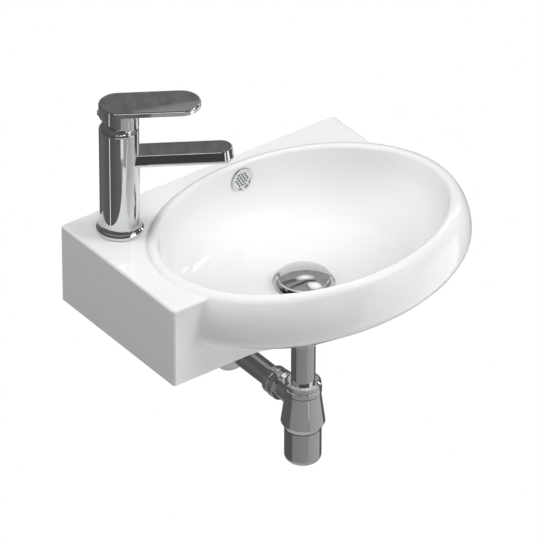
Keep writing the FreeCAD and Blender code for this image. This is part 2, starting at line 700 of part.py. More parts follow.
passage = new_body("passage")
passage_way = sketch_on(passage, "YZ_Plane")
passage_y = overflow_y + bowl_out + cover_tube_long + overflow_bore / 2
turn_share = dim(1) / 2 + sin(floor_slope)
turn_r = sweep_r + bowl_round / 2
turn_in = sweep_z + bowl_round * (cos(floor_slope) - root(1 - turn_share * turn_share))
turn_out = under_z - (under_r - turn_r) / tan(under_slope)
sweep_out = under_z - (under_r - sweep_r) / tan(under_slope)
passage_end = (floor_z - foot_drop) / 2 - overflow_bore
way = [
    (passage_y, -overflow_drop), (passage_y, -bulge_drop - bulge_round / 2),
    (turn_r * oval, (turn_in + turn_out) / 2), (sweep_r * oval, (sweep_z + sweep_out) / 2),
    (drain_hole - overflow_bore, passage_end)]
for i in range(len(way) - 1):
    start = Vector(way[i][0].value, way[i][1].value, 0)
    end = Vector(way[i + 1][0].value, way[i + 1][1].value, 0)
    passage_way.addGeometry(Part.LineSegment(start, end), False)
    if i:
        passage_way.addConstraint(Sketcher.Constraint("Coincident", i - 1, 2, i, 1))
    pin_point(passage_way, i, 1, *way[i])
pin_point(passage_way, len(way) - 2, 2, *way[-1])
passage_round = sketch_on(passage, "XY_Plane", way[0][1])
disc(passage_round, 0, way[0][0], overflow_bore)
doc.recompute()
passage_pipe = passage.newObject("PartDesign::AdditivePipe", "passage_pipe")
passage_pipe.Profile = passage_round
passage_pipe.Spine = (passage_way, [f"Edge{i + 1}" for i in range(len(way) - 1)])
passage_pipe.Transition = "Round corner"
put(passage, overflow_x, -bowl_out, deck_level)

holes = doc.addObject("Part::MultiFuse", "holes")
holes.Shapes = [drain_cut, seat_cut, tap_cut, cover_cut, throat_cut, passage] + bolt_cuts
basin = doc.addObject("Part::Cut", "basin")
basin.Base = solid_basin
basin.Tool = holes
doc.recompute()
keep(basin)

# Overflow cover

overflow_cover = new_body("overflow_cover")
cover_tube = overflow_hole - free_fit
cover_face = cover_thick - cover_sink
cover_disc = cover_radius - cover_ring
cover_turn = turn(overflow_cover, [
    (0, 0), (cover_tube - 1.6, 0), (cover_tube - 1.6, -cover_tube_long), (cover_tube, -cover_tube_long),
    (cover_tube, 0), (cover_radius, 0), (cover_radius, cover_thick), (cover_disc + cover_sink, cover_thick),
    (cover_disc, cover_face), (0, cover_face)])
dress(overflow_cover, cover_turn, ring_edge(cover_radius, cover_thick), cover_sink)
rose = sketch_on(overflow_cover, "XY_Plane")
rows = 2
for row in range(-rows, rows + 1):
    for place in range(-rows, rows + 1):
        if abs(row + place) <= rows:
            disc(rose, cover_pitch * (place + row / 2), cover_pitch * (root(dim(3)) / 2) * row, cover_hole)
cut(overflow_cover, rose, cover_thick, reverse=True)
keep(put(overflow_cover, overflow_x, seat_y, overflow_z, X_AXIS, 90 - cover_tilt))

# Wall fixings, made once and mirrored; heights count out from the wall


def wall_pair(single, label):
    """Turn a piece to face away from the wall, and repeat it on the other side."""
    put(single, bolt_middle + bolt_spacing / 2, 0, 0, X_AXIS, 90)
    twin = doc.addObject("Part::Mirroring", label + "_twin")
    twin.Source = single
    twin.Normal = X_AXIS
    twin.setExpression("Base.x", bolt_middle.text)
    pair = doc.addObject("Part::Compound", label)
    pair.Links = [single, twin]
    doc.recompute()
    return keep(pair)


wall_bolt = new_body("wall_bolt")
bolt_tip = bolt_radius / 5
anchor = bolt_radius - anchor_step
turn(wall_bolt, [
    (0, -bolt_in_wall), (anchor - bolt_tip, -bolt_in_wall), (anchor, -bolt_in_wall + bolt_tip),
    (anchor, 0), (bolt_radius, 0), (bolt_radius, bolt_inside - bolt_tip), (bolt_radius - bolt_tip, bolt_inside), (0, bolt_inside)])
wall_pair(wall_bolt, "wall_bolts")

lip_top = back_wall + sleeve_lip_thick
wall_sleeve = new_body("wall_sleeve")
turn(wall_sleeve, [
    (bolt_radius + running_fit, 0), (bolt_hole - running_fit, 0), (bolt_hole - running_fit, back_wall),
    (sleeve_lip, back_wall), (sleeve_lip, lip_top), (bolt_radius + running_fit, lip_top)])
wall_pair(wall_sleeve, "wall_sleeves")

washer_top = lip_top + fixing_washer_thick
wall_pair(tube("wall_washer", bolt_radius + free_fit, fixing_washer_radius, lip_top, washer_top), "wall_washers")


def nut(label, flats, bore, low, high):
    """A plain hexagon nut."""
    body = new_body(label)
    sketch = sketch_on(body, "XY_Plane", low)
    hexagon(sketch, flats)
    disc(sketch, 0, 0, bore)
    raised(body, sketch, high - low)
    return body


nut_face = washer_top + fixing_nut_high
wall_pair(nut("wall_nut", fixing_nut_flats, bolt_radius + running_fit, washer_top, nut_face), "wall_nuts")

# Tap: base, body and spout, fixing

ring_bore = tap_hole + gasket_thick / 2
on_deck(tube("tap_gasket", ring_bore, ring_radius - ring_bevel, dim(0), gasket_thick))

foot_level = gasket_thick + ring_high
base_ring = new_body("tap_base_ring")
turn(base_ring, [
    (ring_bore, gasket_thick), (ring_radius, gasket_thick), (ring_radius, foot_level - ring_bevel),
    (ring_radius - ring_bevel, foot_level), (ring_bore, foot_level)])
on_deck(base_ring)

tap_body = new_body("tap_body")
flare_low = foot_level + gasket_thick
tap_turn = turn(tap_body, [
    (0, foot_level), (tap_foot_radius, foot_level), (tap_foot_radius, flare_low),
    (tap_radius, flare_low + tap_flare, tap_flare * 1.6, -1), (tap_radius, tap_top), (0, tap_top)])
dress(tap_body, tap_turn, ring_edge(tap_radius, tap_top), body_round)
groove(tap_body, [
    (0, cartridge_seat), (cavity_radius, cartridge_seat), (cavity_radius, tap_top - thread_deep),
    (thread_radius, tap_top - thread_deep), (thread_radius, tap_top + 1), (0, tap_top + 1)])
block_top = foot_level + block_high
groove(tap_body, [
    (0, foot_level - 1), (block_radius + running_fit, foot_level - 1), (block_radius + running_fit, block_top),
    (0, block_top)])
channel_level = spout_low + channel_up
mixing = sketch_on(tap_body, "XY_Plane", cartridge_seat)
disc(mixing, mixing_forward, 0, mixing_radius)
cut(tap_body, mixing, cartridge_seat - channel_level)
channel = sketch_on(tap_body, "YZ_Plane")
disc(channel, 0, channel_level, channel_radius)
cut(tap_body, channel, tap_radius, reverse=True)
nipple_seat = sketch_on(tap_body, "YZ_Plane", nipple_start)
disc(nipple_seat, 0, channel_level, nipple_radius + running_fit)
cut(tap_body, nipple_seat, tap_radius, reverse=True)


def inlets(sketch, radius):
    """The pair of inlets, one to each side."""
    for side in (-1, 1):
        disc(sketch, -inlet_back, inlet_aside * side, radius)


inlet_bores = sketch_on(tap_body, "XY_Plane", block_top)
inlets(inlet_bores, inlet_radius)
cut(tap_body, inlet_bores, cartridge_seat - block_top, reverse=True)
on_deck(tap_body)

hose_block = new_body("hose_block")
turn(hose_block, [(0, foot_level), (block_radius, foot_level), (block_radius, block_top), (0, block_top)])
hose_threads = sketch_on(hose_block, "XY_Plane", foot_level)
inlets(hose_threads, inlet_thread)
cut(hose_block, hose_threads, inlet_deep, reverse=True)
block_bores = sketch_on(hose_block, "XY_Plane", foot_level)
inlets(block_bores, inlet_radius)
cut(hose_block, block_bores, reverse=True)
stud_socket = sketch_on(hose_block, "XY_Plane", foot_level)
disc(stud_socket, stud_forward, 0, stud_radius)
cut(hose_block, stud_socket, stud_deep, reverse=True)
on_deck(hose_block)

# Spout: a bar with leaning sides, saddled to the body and let in with a nipple

tap_spout = new_body("tap_spout")
spout_plan = sketch_on(tap_spout, "XY_Plane", spout_low)
spout_foot = spout_half + spout_thick * tan(spout_side)
spout_tip = spout_reach - spout_foot
outline(spout_plan, [
    (0, -spout_foot), (spout_tip, -spout_foot), (spout_reach, 0, spout_foot, 1),
    (spout_tip, spout_foot, spout_foot, 1), (0, spout_foot)])
spout_block = raised(tap_spout, spout_plan, spout_thick)
spout_block.setExpression("TaperAngle", (-spout_side).text)
doc.recompute()


def spout_edge(height):
    """A test for the spout's level edges, without the one inside the body."""
    level = flat_edge(height)
    return lambda e: level(e) and e.BoundBox.XMax > tap_radius.value + 1


under_rounded = dress(tap_spout, spout_block, spout_edge(spout_low), spout_under_round)
dress(tap_spout, under_rounded, spout_edge(spout_low + spout_thick), spout_top_round)
saddle = sketch_on(tap_spout, "XY_Plane", spout_low)
disc(saddle, 0, 0, tap_radius + running_fit)
cut(tap_spout, saddle, reverse=True)
nipple = sketch_on(tap_spout, "YZ_Plane", nipple_start)
disc(nipple, 0, channel_level, nipple_radius)
raised(tap_spout, nipple, tap_radius)
aerator_seat = sketch_on(tap_spout, "XY_Plane", spout_low)
disc(aerator_seat, aerator_reach, 0, aerator_radius)
cut(tap_spout, aerator_seat, aerator_deep, reverse=True)
spout_channel = sketch_on(tap_spout, "YZ_Plane", nipple_start)
disc(spout_channel, 0, channel_level, channel_radius)
cut(tap_spout, spout_channel, aerator_reach - aerator_radius / 3 - nipple_start, reverse=True)
on_deck(tap_spout)


def along_spout(thing, reach):
    """Stand a round piece on the deck's height scale, this far along the spout from the tap's axis."""
    across = tap_x + reach * cos(spout_turn)
    return keep(put(thing, across, -tap_out - reach * sin(spout_turn), deck_level))


tap_stud = new_body("tap_stud")
turn(tap_stud, [
    (0, -stud_long), (stud_radius - 0.8, -stud_long), (stud_radius, -stud_long + 0.8),
    (stud_radius, foot_level + stud_deep), (0, foot_level + stud_deep)])
along_spout(tap_stud, stud_forward)


def horseshoe(label, low, high):
    """A disc with a hole for the stud and one side open for the hoses."""
    body = new_body(label)
    plan = sketch_on(body, "XY_Plane", low)
    disc(plan, 0, 0, shoe_radius)
    disc(plan, stud_forward, 0, stud_radius + free_fit)
    raised(body, plan, high - low)
    gate = sketch_on(body, "XY_Plane", low)
    outline(gate, [
        (-shoe_radius - 1, -shoe_cut), (0, -shoe_cut), (0, shoe_cut), (-shoe_radius - 1, shoe_cut)])
    cut(body, gate, high - low, reverse=True)
    return on_deck(body)


shoe_gasket_low = -deck_thick - shoe_gasket_thick
shoe_low = shoe_gasket_low - shoe_thick
horseshoe("horseshoe_gasket", shoe_gasket_low, -deck_thick)
horseshoe("horseshoe_washer", shoe_low, shoe_gasket_low)
stud_nut = nut("stud_nut", stud_nut_flats, stud_radius + running_fit, shoe_low - stud_nut_high, shoe_low)
along_spout(stud_nut, stud_forward)

# Aerator

aerator_skin = aerator_radius - running_fit
aerator_bore = aerator_skin - 1.6
aerator_housing = new_body("aerator_housing")
aerator_top = spout_low + aerator_deep - 1
turn(aerator_housing, [
    (aerator_bore, spout_low - aerator_lip), (aerator_radius, spout_low - aerator_lip),
    (aerator_radius + 0.8, spout_low - aerator_lip + 0.8), (aerator_radius + 0.8, spout_low),
    (aerator_skin, spout_low), (aerator_skin, aerator_top), (aerator_bore, aerator_top)])
along_spout(aerator_housing, aerator_reach)

aerator_insert = new_body("aerator_insert")
insert_low = spout_low - aerator_lip / 2
insert_plan = sketch_on(aerator_insert, "XY_Plane", insert_low)
disc(insert_plan, 0, 0, aerator_bore - running_fit)
insert_ring = aerator_bore * 0.58
ways_round = 6
disc(insert_plan, 0, 0, aerator_bore / 5)
for step in range(ways_round):
    turned = dim(360 / ways_round * step)
    disc(insert_plan, insert_ring * cos(turned), insert_ring * sin(turned), aerator_bore / 5)
raised(aerator_insert, insert_plan, aerator_top - insert_low)
along_spout(aerator_insert, aerator_reach)
aerator_seal = tube("aerator_seal", aerator_bore - 1, aerator_skin, aerator_top, aerator_top + 1)
along_spout(aerator_seal, aerator_reach)

# Cartridge

housing_low = cartridge_seat + seal_thick
housing_radius = cavity_radius - free_fit * 2
shoulder = housing_low + housing_shoulder
housing_top = housing_low + housing_high
on_deck(tube("cartridge_seal", cavity_radius - 3, housing_radius, cartridge_seat, housing_low))

cartridge_housing = new_body("cartridge_housing")
turn(cartridge_housing, [
    (0, housing_low), (housing_radius, housing_low), (housing_radius, shoulder), (housing_step, shoulder),
    (housing_step, housing_top), (housing_lip, housing_top), (housing_lip, housing_top - housing_lip_thick),
    (housing_cavity, housing_top - housing_lip_thick), (housing_cavity, housing_low + housing_floor),
    (0, housing_low + housing_floor)])


def ports(body, low, depth):
    """Two ways in and one way out through a floor or disc."""
    plan = sketch_on(body, "XY_Plane", low)
    inlets(plan, inlet_radius)
    disc(plan, mixing_forward, 0, mixing_radius)
    cut(body, plan, depth, reverse=True)


ports(cartridge_housing, housing_low, housing_floor)
on_deck(cartridge_housing)

disc_low = housing_low + housing_floor
fixed_disc = tube("fixed_disc", dim(1), housing_cavity - free_fit, disc_low, disc_low + disc_thick)
ports(fixed_disc, disc_low, disc_thick)
on_deck(fixed_disc)

moving_low = disc_low + disc_thick
moving_high = moving_low + disc_thick
moving_disc = new_body("moving_disc")
moving_plan = sketch_on(moving_disc, "XY_Plane", moving_low)
disc(moving_plan, -disc_stroke / 2, 0, moving_disc_radius)
raised(moving_disc, moving_plan, disc_thick)
foot_seat = sketch_on(moving_disc, "XY_Plane", moving_high)
disc(foot_seat, 0, 0, stem_foot + 1)
cut(moving_disc, foot_seat, disc_thick * 2 / 3)
crossing = sketch_on(moving_disc, "XY_Plane", moving_low)
disc(crossing, mixing_forward - disc_stroke, 0, mixing_radius)
cut(moving_disc, crossing, disc_thick / 4, reverse=True)
on_deck(moving_disc)

carrier_low = moving_high + free_fit * 2
carrier_step = pivot_level - pin_radius - 1
carrier_top = housing_top + 1
carrier = new_body("carrier")
turn(carrier, [
    (0, carrier_low), (housing_cavity - free_fit * 3, carrier_low), (housing_cavity - free_fit * 3, carrier_step),
    (carrier_neck, carrier_step), (carrier_neck, carrier_top), (0, carrier_top)])
stem_gate = sketch_on(carrier, "XY_Plane", carrier_low)
gate_half = stem_half + running_fit
gate_long = carrier_neck - 2
outline(stem_gate, [
    (-gate_long, -gate_half), (gate_long, -gate_half), (gate_long, gate_half), (-gate_long, gate_half)])
cut(carrier, stem_gate, reverse=True)
pin_bore = sketch_on(carrier, "XZ_Plane")
disc(pin_bore, 0, pivot_level, pin_radius)
cut(carrier, pin_bore, both=True)
on_deck(carrier)

stem_pin = new_body("stem_pin")
pin_plan = sketch_on(stem_pin, "XZ_Plane")
disc(pin_plan, 0, pivot_level, pin_radius)
pin_pad = raised(stem_pin, pin_plan, (carrier_neck - 1) * 2)
pin_pad.Midplane = True
on_deck(stem_pin)

stem_low = moving_high + disc_thick / 2
stem = new_body("stem")
stem_plan = sketch_on(stem, "XY_Plane", stem_low)
outline(stem_plan, [
    (-stem_half, -stem_half), (stem_half, -stem_half), (stem_half, stem_half), (-stem_half, stem_half)])
raised(stem, stem_plan, stem_top - stem_low)
foot_plan = sketch_on(stem, "XY_Plane", stem_low)
disc(foot_plan, 0, 0, stem_foot)
raised(stem, foot_plan, stem_low - moving_high + disc_thick * 0.6, down=True)
stem_bore = sketch_on(stem, "XZ_Plane")
disc(stem_bore, 0, pivot_level, pin_radius + running_fit)
cut(stem, stem_bore, both=True)
on_deck(stem)

nut_bore = housing_step + running_fit
on_deck(tube("cartridge_nut", nut_bore, thread_radius - running_fit, shoulder, tap_top + 1))

bonnet = new_body("bonnet")
bonnet_top = tap_top + bonnet_high
turn(bonnet, [
    (bonnet_radius - bonnet_skin, tap_top), (bonnet_radius, tap_top), (bonnet_radius, tap_top + bonnet_skin),
    (bonnet_hole, bonnet_top, bonnet_sweep, 1), (bonnet_hole, bonnet_top - bonnet_skin),
    (bonnet_radius - bonnet_skin, tap_top + bonnet_skin, bonnet_sweep - bonnet_skin, -1)])
on_deck(bonnet)

# Lever

lever = new_body("lever_handle")
plate_top = plate_low + plate_thick
turn(lever, [(0, hub_front), (tap_radius, hub_front), (tap_radius, plate_low), (0, plate_low)])
plate_plan = sketch_on(lever, "XY_Plane", plate_low)
plate_tip = plate_reach - tap_radius
outline(plate_plan, [
    (0, -tap_radius, tap_radius, 1), (plate_tip, -tap_radius), (plate_reach, 0, tap_radius, 1),
    (plate_tip, tap_radius, tap_radius, 1), (0, tap_radius), (-tap_radius, 0, tap_radius, 1)])
plate_pad = raised(lever, plate_plan, plate_thick)
dress(lever, plate_pad, flat_edge(plate_top), plate_round)
slant = sketch_on(lever, "XZ_Plane")
slant_rise = (hub_back - hub_front) / (tap_radius * 2)
slant_reach = tap_radius + 2
slant_low = hub_front - slant_rise * 2
slant_high = hub_back + slant_rise * 2
outline(slant, [
    (-slant_reach, hub_front - 2), (slant_reach, hub_front - 2), (slant_reach, slant_low),
    (-slant_reach, slant_high)])
cut(lever, slant, both=True)
hub_cavity = tap_radius - hub_wall
groove(lever, [
    (0, hub_front - 2), (hub_cavity, hub_front - 2), (hub_cavity, hub_roof), (0, hub_roof)])
stem_socket = sketch_on(lever, "XY_Plane", hub_roof)
socket_half = stem_half + running_fit
outline(stem_socket, [
    (-socket_half, -socket_half), (socket_half, -socket_half), (socket_half, socket_half),
    (-socket_half, socket_half)])
cut(lever, stem_socket, stem_top - hub_roof + free_fit, reverse=True)
grub_bore = sketch_on(lever, "YZ_Plane")
disc(grub_bore, 0, grub_level, grub_radius)
cut(lever, grub_bore)
index_bore = sketch_on(lever, "YZ_Plane", index_deep - tap_radius)
disc(index_bore, 0, grub_level, index_radius)
cut(lever, index_bore)
on_deck(lever)

grub_screw = new_body("grub_screw")
grub_plan = sketch_on(grub_screw, "YZ_Plane", -stem_half)
disc(grub_plan, 0, grub_level, grub_radius - running_fit / 2)
raised(grub_screw, grub_plan, grub_long, down=True)
on_deck(grub_screw)

index_plug = new_body("index_plug")
index_plan = sketch_on(index_plug, "YZ_Plane", index_deep - tap_radius)
disc(index_plan, 0, grub_level, index_radius - running_fit / 2)
index_pad = raised(index_plug, index_plan, index_deep + index_proud, down=True)
index_end = -tap_radius.value - index_proud.value
dress(index_plug, index_pad, lambda e: e.BoundBox.XMax < index_end + 0.01, index_proud / 2)
on_deck(index_plug)

# Waste

waste_long = boss_drop + waste_past
socket_end = waste_long + socket_long
tail_start = socket_end - tail_in_socket
guide_drop = seat_depth + guide_under
plug_stem_end = guide_drop + guide_high + plug_stem_past
seal_low = -seat_depth
flange_low = seal_low + upper_seal_thick
flange_top = flange_low + flange_thick
at_drain(tube("waste_upper_seal", drain_hole + 1, flange_radius - 1, seal_low, flange_low))

tail_socket = tail_radius + running_fit
waste_body = new_body("waste_body")
socket_top = waste_long + (waste_radius - socket_radius) * 2
waste_turn = turn(waste_body, [
    (throat_radius, flange_top), (flange_radius, flange_top), (flange_radius, flange_low),
    (waste_radius, flange_low), (waste_radius, -waste_long), (socket_radius, -socket_top),
    (socket_radius, -socket_end), (tail_socket, -socket_end), (tail_socket, -tail_start),
    (tail_radius - tail_wall, -tail_start), (tail_radius - tail_wall, -tail_start + 2),
    (waste_bore, -tail_start + 2 + waste_bore - tail_radius + tail_wall),
    (waste_bore, flange_top - throat_deep)])
dress(waste_body, waste_turn, ring_edge(flange_radius, flange_top), flange_thick / 3)
slot_middle = (guide_drop + foot_drop) / 2 - slot_high * 0.65
slot = sketch_on(waste_body, "XZ_Plane")
outline(slot, [
    (-slot_half, -slot_middle - slot_high / 2), (slot_half, -slot_middle - slot_high / 2),
    (slot_half, -slot_middle + slot_high / 2), (-slot_half, -slot_middle + slot_high / 2)])
cut(waste_body, slot, both=True)
at_drain(waste_body)

gasket_low = -boss_drop - lower_gasket_thick
at_drain(tube("waste_lower_gasket", waste_radius + running_fit, back_nut_radius + 2, gasket_low, -boss_drop))
back_nut_low = gasket_low - back_nut_high
back_nut = nut("waste_back_nut", back_nut_radius * 2, waste_radius + running_fit, back_nut_low, gasket_low)
at_drain(back_nut)

guide = new_body("guide_spider")
guide_low = -guide_drop - guide_high
guide_rim = waste_bore - running_fit / 2
guide_bore = plug_stem_radius + running_fit
turn(guide, [
    (guide_bore, guide_low), (guide_rim, guide_low), (guide_rim, -guide_drop), (guide_bore, -guide_drop)])
guide_ring = (guide_sleeve + guide_rim) / 2 - 0.5
guide_ways = sketch_on(guide, "XY_Plane", guide_low)
for step in range(ways_round):
    turned = dim(360 / ways_round * step)
    disc(guide_ways, guide_ring * cos(turned), guide_ring * sin(turned), guide_hole)
cut(guide, guide_ways, reverse=True)
at_drain(guide)

cap_low = flange_top + plug_gap + plug_travel
cap_rim = cap_low + cap_edge
cap_top = cap_rim + cap_dome
dome_round = (cap_radius * cap_radius + cap_dome * cap_dome) / (cap_dome * 2)
boss_low = cap_low - plug_seal_thick
plug_cap = new_body("plug_cap")
cap_turn = turn(plug_cap, [
    (0, cap_rim), (plug_stem_radius, cap_rim), (plug_stem_radius, boss_low), (plug_boss, boss_low),
    (plug_boss, cap_low), (cap_radius, cap_low), (cap_radius, cap_rim), (0, cap_top, dome_round, 1)])
dress(plug_cap, cap_turn, ring_edge(cap_radius, cap_rim), cap_edge / 4)
at_drain(plug_cap)
at_drain(tube("plug_seal", plug_boss, plug_seal_radius, boss_low, cap_low))

collar_low = boss_low - 1.5
plug_stem = new_body("plug_stem")
turn(plug_stem, [
    (0, -plug_stem_end), (plug_stem_radius, -plug_stem_end), (plug_stem_radius, collar_low),
    (guide_sleeve, collar_low), (guide_sleeve, boss_low), (plug_stem_radius - running_fit / 2, boss_low),
    (plug_stem_radius - running_fit / 2, cap_rim), (0, cap_rim)])
at_drain(plug_stem)

spring_high = collar_low + guide_drop - spring_wire * 2
coil = doc.addObject("Part::Helix", "coil")
coil.setExpression("Radius", spring_radius.text)
coil.setExpression("Height", spring_high.text)
coil.setExpression("Pitch", (spring_high / spring_turns).text)
wire = doc.addObject("Part::Circle", "wire")
wire.setExpression("Radius", spring_wire.text)
put(wire, spring_radius, 0, 0, X_AXIS, 90)
plug_spring = doc.addObject("Part::Sweep", "plug_spring")
plug_spring.Sections = [wire]
plug_spring.Spine = (coil, [f"Edge{i + 1}" for i in range(len(coil.Shape.Edges))])
plug_spring.Solid = True
plug_spring.Frenet = True
at_drain(plug_spring, -guide_drop + spring_wire)

# Tailpiece and trap

at_drain(tube("tailpiece", tail_radius - tail_wall, tail_radius, -tail_end, -tail_start))

nut_lip = nut_top + 4
nut_step = (nut_low - nut_top) / 2
nut_chamfer = nut_radius - nut_groove
inlet_nut = new_body("inlet_nut")
turn(inlet_nut, [
    (tail_radius + free_fit * 2, -nut_top), (nut_groove - nut_chamfer, -nut_top),
    (nut_upper_radius, -nut_top - nut_chamfer), (nut_upper_radius, -nut_top - nut_step + nut_chamfer / 2),
    (nut_groove, -nut_top - nut_step), (nut_radius, -nut_top - nut_step - nut_chamfer / 2),
    (nut_radius, -nut_low + 0.6), (nut_radius - 0.6, -nut_low), (neck_radius + running_fit, -nut_low),
    (neck_radius + running_fit, -nut_lip), (tail_radius + free_fit * 2, -nut_lip)])
at_drain(inlet_nut)
ferrule_skin = neck_radius - free_fit * 2
ferrule = new_body("inlet_ferrule")
turn(ferrule, [
    (tail_radius + running_fit, -neck_top), (ferrule_skin, -neck_top), (ferrule_skin, -nut_lip),
    (tail_radius + running_fit, -nut_lip)])
at_drain(ferrule)

trap_head = new_body("trap_head")
cone_start = nut_low + 1
head_bore = tail_radius + free_fit * 2
head_turn = turn(trap_head, [
    (head_bore, -neck_top), (neck_radius, -neck_top), (neck_radius, -cone_start), (cone_top_radius, -cone_start),
    (cone_radius, -cone_low), (cup_radius + 0.6, -head_low), (chamber_radius, -head_low),
    (chamber_radius, -chamber_top), (well_radius, -chamber_top), (well_radius, -well_top), (head_bore, -well_top)])
branch_plan = sketch_on(trap_head, "XZ_Plane")
disc(branch_plan, 0, -outlet_level, branch_radius)
branch_pad = raised(trap_head, branch_plan, branch_long, down=True)
groove(trap_head, [
    (0, -chamber_top), (well_radius, -chamber_top), (well_radius, -well_top), (head_bore, -well_top),
    (head_bore, -neck_top), (0, -neck_top)])
branch_bore = sketch_on(trap_head, "XZ_Plane")
disc(branch_bore, 0, -outlet_level, outlet_radius - outlet_wall)
cut(trap_head, branch_bore, branch_long)
branch_socket = sketch_on(trap_head, "XZ_Plane", -pipe_start)
disc(branch_socket, 0, -outlet_level, outlet_radius + running_fit)
cut(trap_head, branch_socket, branch_long)
at_drain(trap_head)

gasket_face = head_low + cup_gasket_thick
at_drain(tube("cup_gasket", chamber_radius, cup_radius + 0.2, -gasket_face, -head_low))
cup_neck = chamber_radius - running_fit
cup_bore = cup_neck - cup_wall
trap_cup = new_body("trap_cup")
cup_floor = cup_low - cup_wall * 1.5
cup_turn = turn(trap_cup, [
    (0, -cup_low), (cup_radius, -cup_low), (cup_radius, -gasket_face), (cup_neck, -gasket_face),
    (cup_neck, -gasket_face + cup_neck_high), (cup_bore, -gasket_face + cup_neck_high),
    (cup_bore, -gasket_face - cup_wall), (cup_radius - cup_wall, -gasket_face - cup_wall * 2),
    (cup_radius - cup_wall, -cup_floor), (0, -cup_floor)])
cup_outside = dress(trap_cup, cup_turn, ring_edge(cup_radius, -cup_low), cup_round)
dress(trap_cup, cup_outside, ring_edge(cup_radius - cup_wall, -cup_floor), cup_round - cup_wall)
at_drain(trap_cup)


def to_wall(thing):
    """Lay a piece along the outlet, heights counted from the trap's axis towards the wall."""
    return keep(put(thing, bowl_across, -bowl_out, deck_level - outlet_level, X_AXIS, -90))


outlet_step = (outlet_nut_start + outlet_nut_end) / 2
outlet_lip = outlet_nut_end - 4
outlet_groove = outlet_nut_radius - 1.4
outlet_nut = new_body("outlet_nut")
turn(outlet_nut, [
    (branch_radius + running_fit, outlet_nut_start), (outlet_nut_radius - 0.6, outlet_nut_start),
    (outlet_nut_radius, outlet_nut_start + 0.6), (outlet_nut_radius, outlet_step - 1.2),
    (outlet_groove, outlet_step), (outlet_nut_radius - 0.6, outlet_step + 1.2),
    (outlet_nut_radius - 0.6, outlet_nut_end - 2), (outlet_nut_radius - 2.6, outlet_nut_end),
    (outlet_radius + free_fit * 2, outlet_nut_end), (outlet_radius + free_fit * 2, outlet_lip),
    (branch_radius + running_fit, outlet_lip)])
to_wall(outlet_nut)
ferrule_out = outlet_radius + running_fit
to_wall(tube("outlet_ferrule", ferrule_out, branch_radius - free_fit, branch_long, outlet_lip))
outlet_pipe = new_body("outlet_pipe")
spigot = outlet_radius - spigot_step
pipe_end = bowl_out + pipe_in_wall
turn(outlet_pipe, [
    (outlet_radius - outlet_wall, pipe_start), (outlet_radius, pipe_start), (outlet_radius, bowl_out),
    (spigot, bowl_out), (spigot, pipe_end), (outlet_radius - outlet_wall, pipe_end)])
to_wall(outlet_pipe)

rosette = new_body("wall_rosette")
bell_front = bowl_out - rosette_deep
bell_back = bowl_out - rosette_skin * 2
bell_bore = outlet_radius + running_fit
rosette_turn = turn(rosette, [
    (bell_bore, bell_front), (rosette_radius, bell_front), (rosette_radius, bell_back),
    (rosette_rim, bell_back), (rosette_rim, bowl_out), (rosette_radius - rosette_skin, bowl_out),
    (rosette_radius - rosette_skin, bell_front + rosette_skin), (bell_bore, bell_front + rosette_skin)])
dress(rosette, rosette_turn, ring_edge(rosette_radius, bell_front), rosette_round)
to_wall(rosette)

# Check every piece, then write it

doc.recompute()
for thing in doc.Objects:
    if "Invalid" in thing.State or "Error" in thing.State:
        raise RuntimeError(f"{thing.Label} did not build: {thing.State}")
os.makedirs("parts", exist_ok=True)
for thing in nodes:
    if thing.Shape.isNull() or not thing.Shape.isValid():
        raise RuntimeError(f"{thing.Label} has no sound shape")
    thing.Shape.exportStep(f"parts/{thing.Label}.step")
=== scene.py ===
import logging
import math
from dataclasses import dataclass
from enum import Enum
from typing import Any, Iterable

import bpy
from mathutils import Matrix, Vector


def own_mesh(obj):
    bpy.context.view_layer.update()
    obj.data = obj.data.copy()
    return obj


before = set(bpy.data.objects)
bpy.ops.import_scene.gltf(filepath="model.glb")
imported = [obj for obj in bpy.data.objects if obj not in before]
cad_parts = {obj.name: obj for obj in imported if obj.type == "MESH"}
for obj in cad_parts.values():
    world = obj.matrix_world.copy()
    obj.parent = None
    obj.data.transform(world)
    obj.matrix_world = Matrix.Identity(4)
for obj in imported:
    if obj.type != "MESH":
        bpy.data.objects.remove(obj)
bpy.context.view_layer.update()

Point = tuple[float, float, float]
Pair = tuple[float, float]
Names = tuple[str, ...]

LOG = logging.getLogger("wall_basin")
MM = 0.001
WHITE = "#FFFFFF"
BLACK = (0.0, 0.0, 0.0, 1.0)

# Fine-grained noise of a surface, and the coarser clouds on a card
GRAIN_DETAIL, GRAIN_ROUGHNESS = 2.0, 0.5
CLOUD_DETAIL, CLOUD_ROUGHNESS = 4.0, 0.65
CLOUD_LOW, CLOUD_HIGH = 0.25, 0.75

# Rounded edges: faces across the round, and the angle from which an edge counts
EDGE_SEGMENTS, EDGE_ANGLE_DEG = 2, 40.0


def linear(code: str) -> tuple[float, float, float, float]:
    """Turn an sRGB hex colour into linear RGBA.

    Args:
        code: six hex digits after a hash sign.

    Returns:
        The colour as Blender's sockets take it.
    """
    shades = [int(code[i:i + 2], 16) / 255 for i in (1, 3, 5)]
    curve = [s / 12.92 if s <= 0.04045 else ((s + 0.055) / 1.055) ** 2.4 for s in shades]
    return (curve[0], curve[1], curve[2], 1.0)


def add_node(tree: bpy.types.NodeTree, kind: str, inputs: dict[str | int, Any] | None = None,
             **settings: Any) -> bpy.types.Node:
    """Add a node with its settings, and set or link its inputs.

    Args:
        tree: the node tree it goes into.
        kind: the node's type name.
        inputs: values, or output sockets to link, by input name or number.
        settings: plain properties of the node.

    Returns:
        The new node.
    """
    node = tree.nodes.new(kind)
    for name, value in settings.items():
        setattr(node, name, value)
    for key, value in (inputs or {}).items():
        if isinstance(value, bpy.types.NodeSocket):
            tree.links.new(value, node.inputs[key])
        else:
            node.inputs[key].default_value = value
    return node


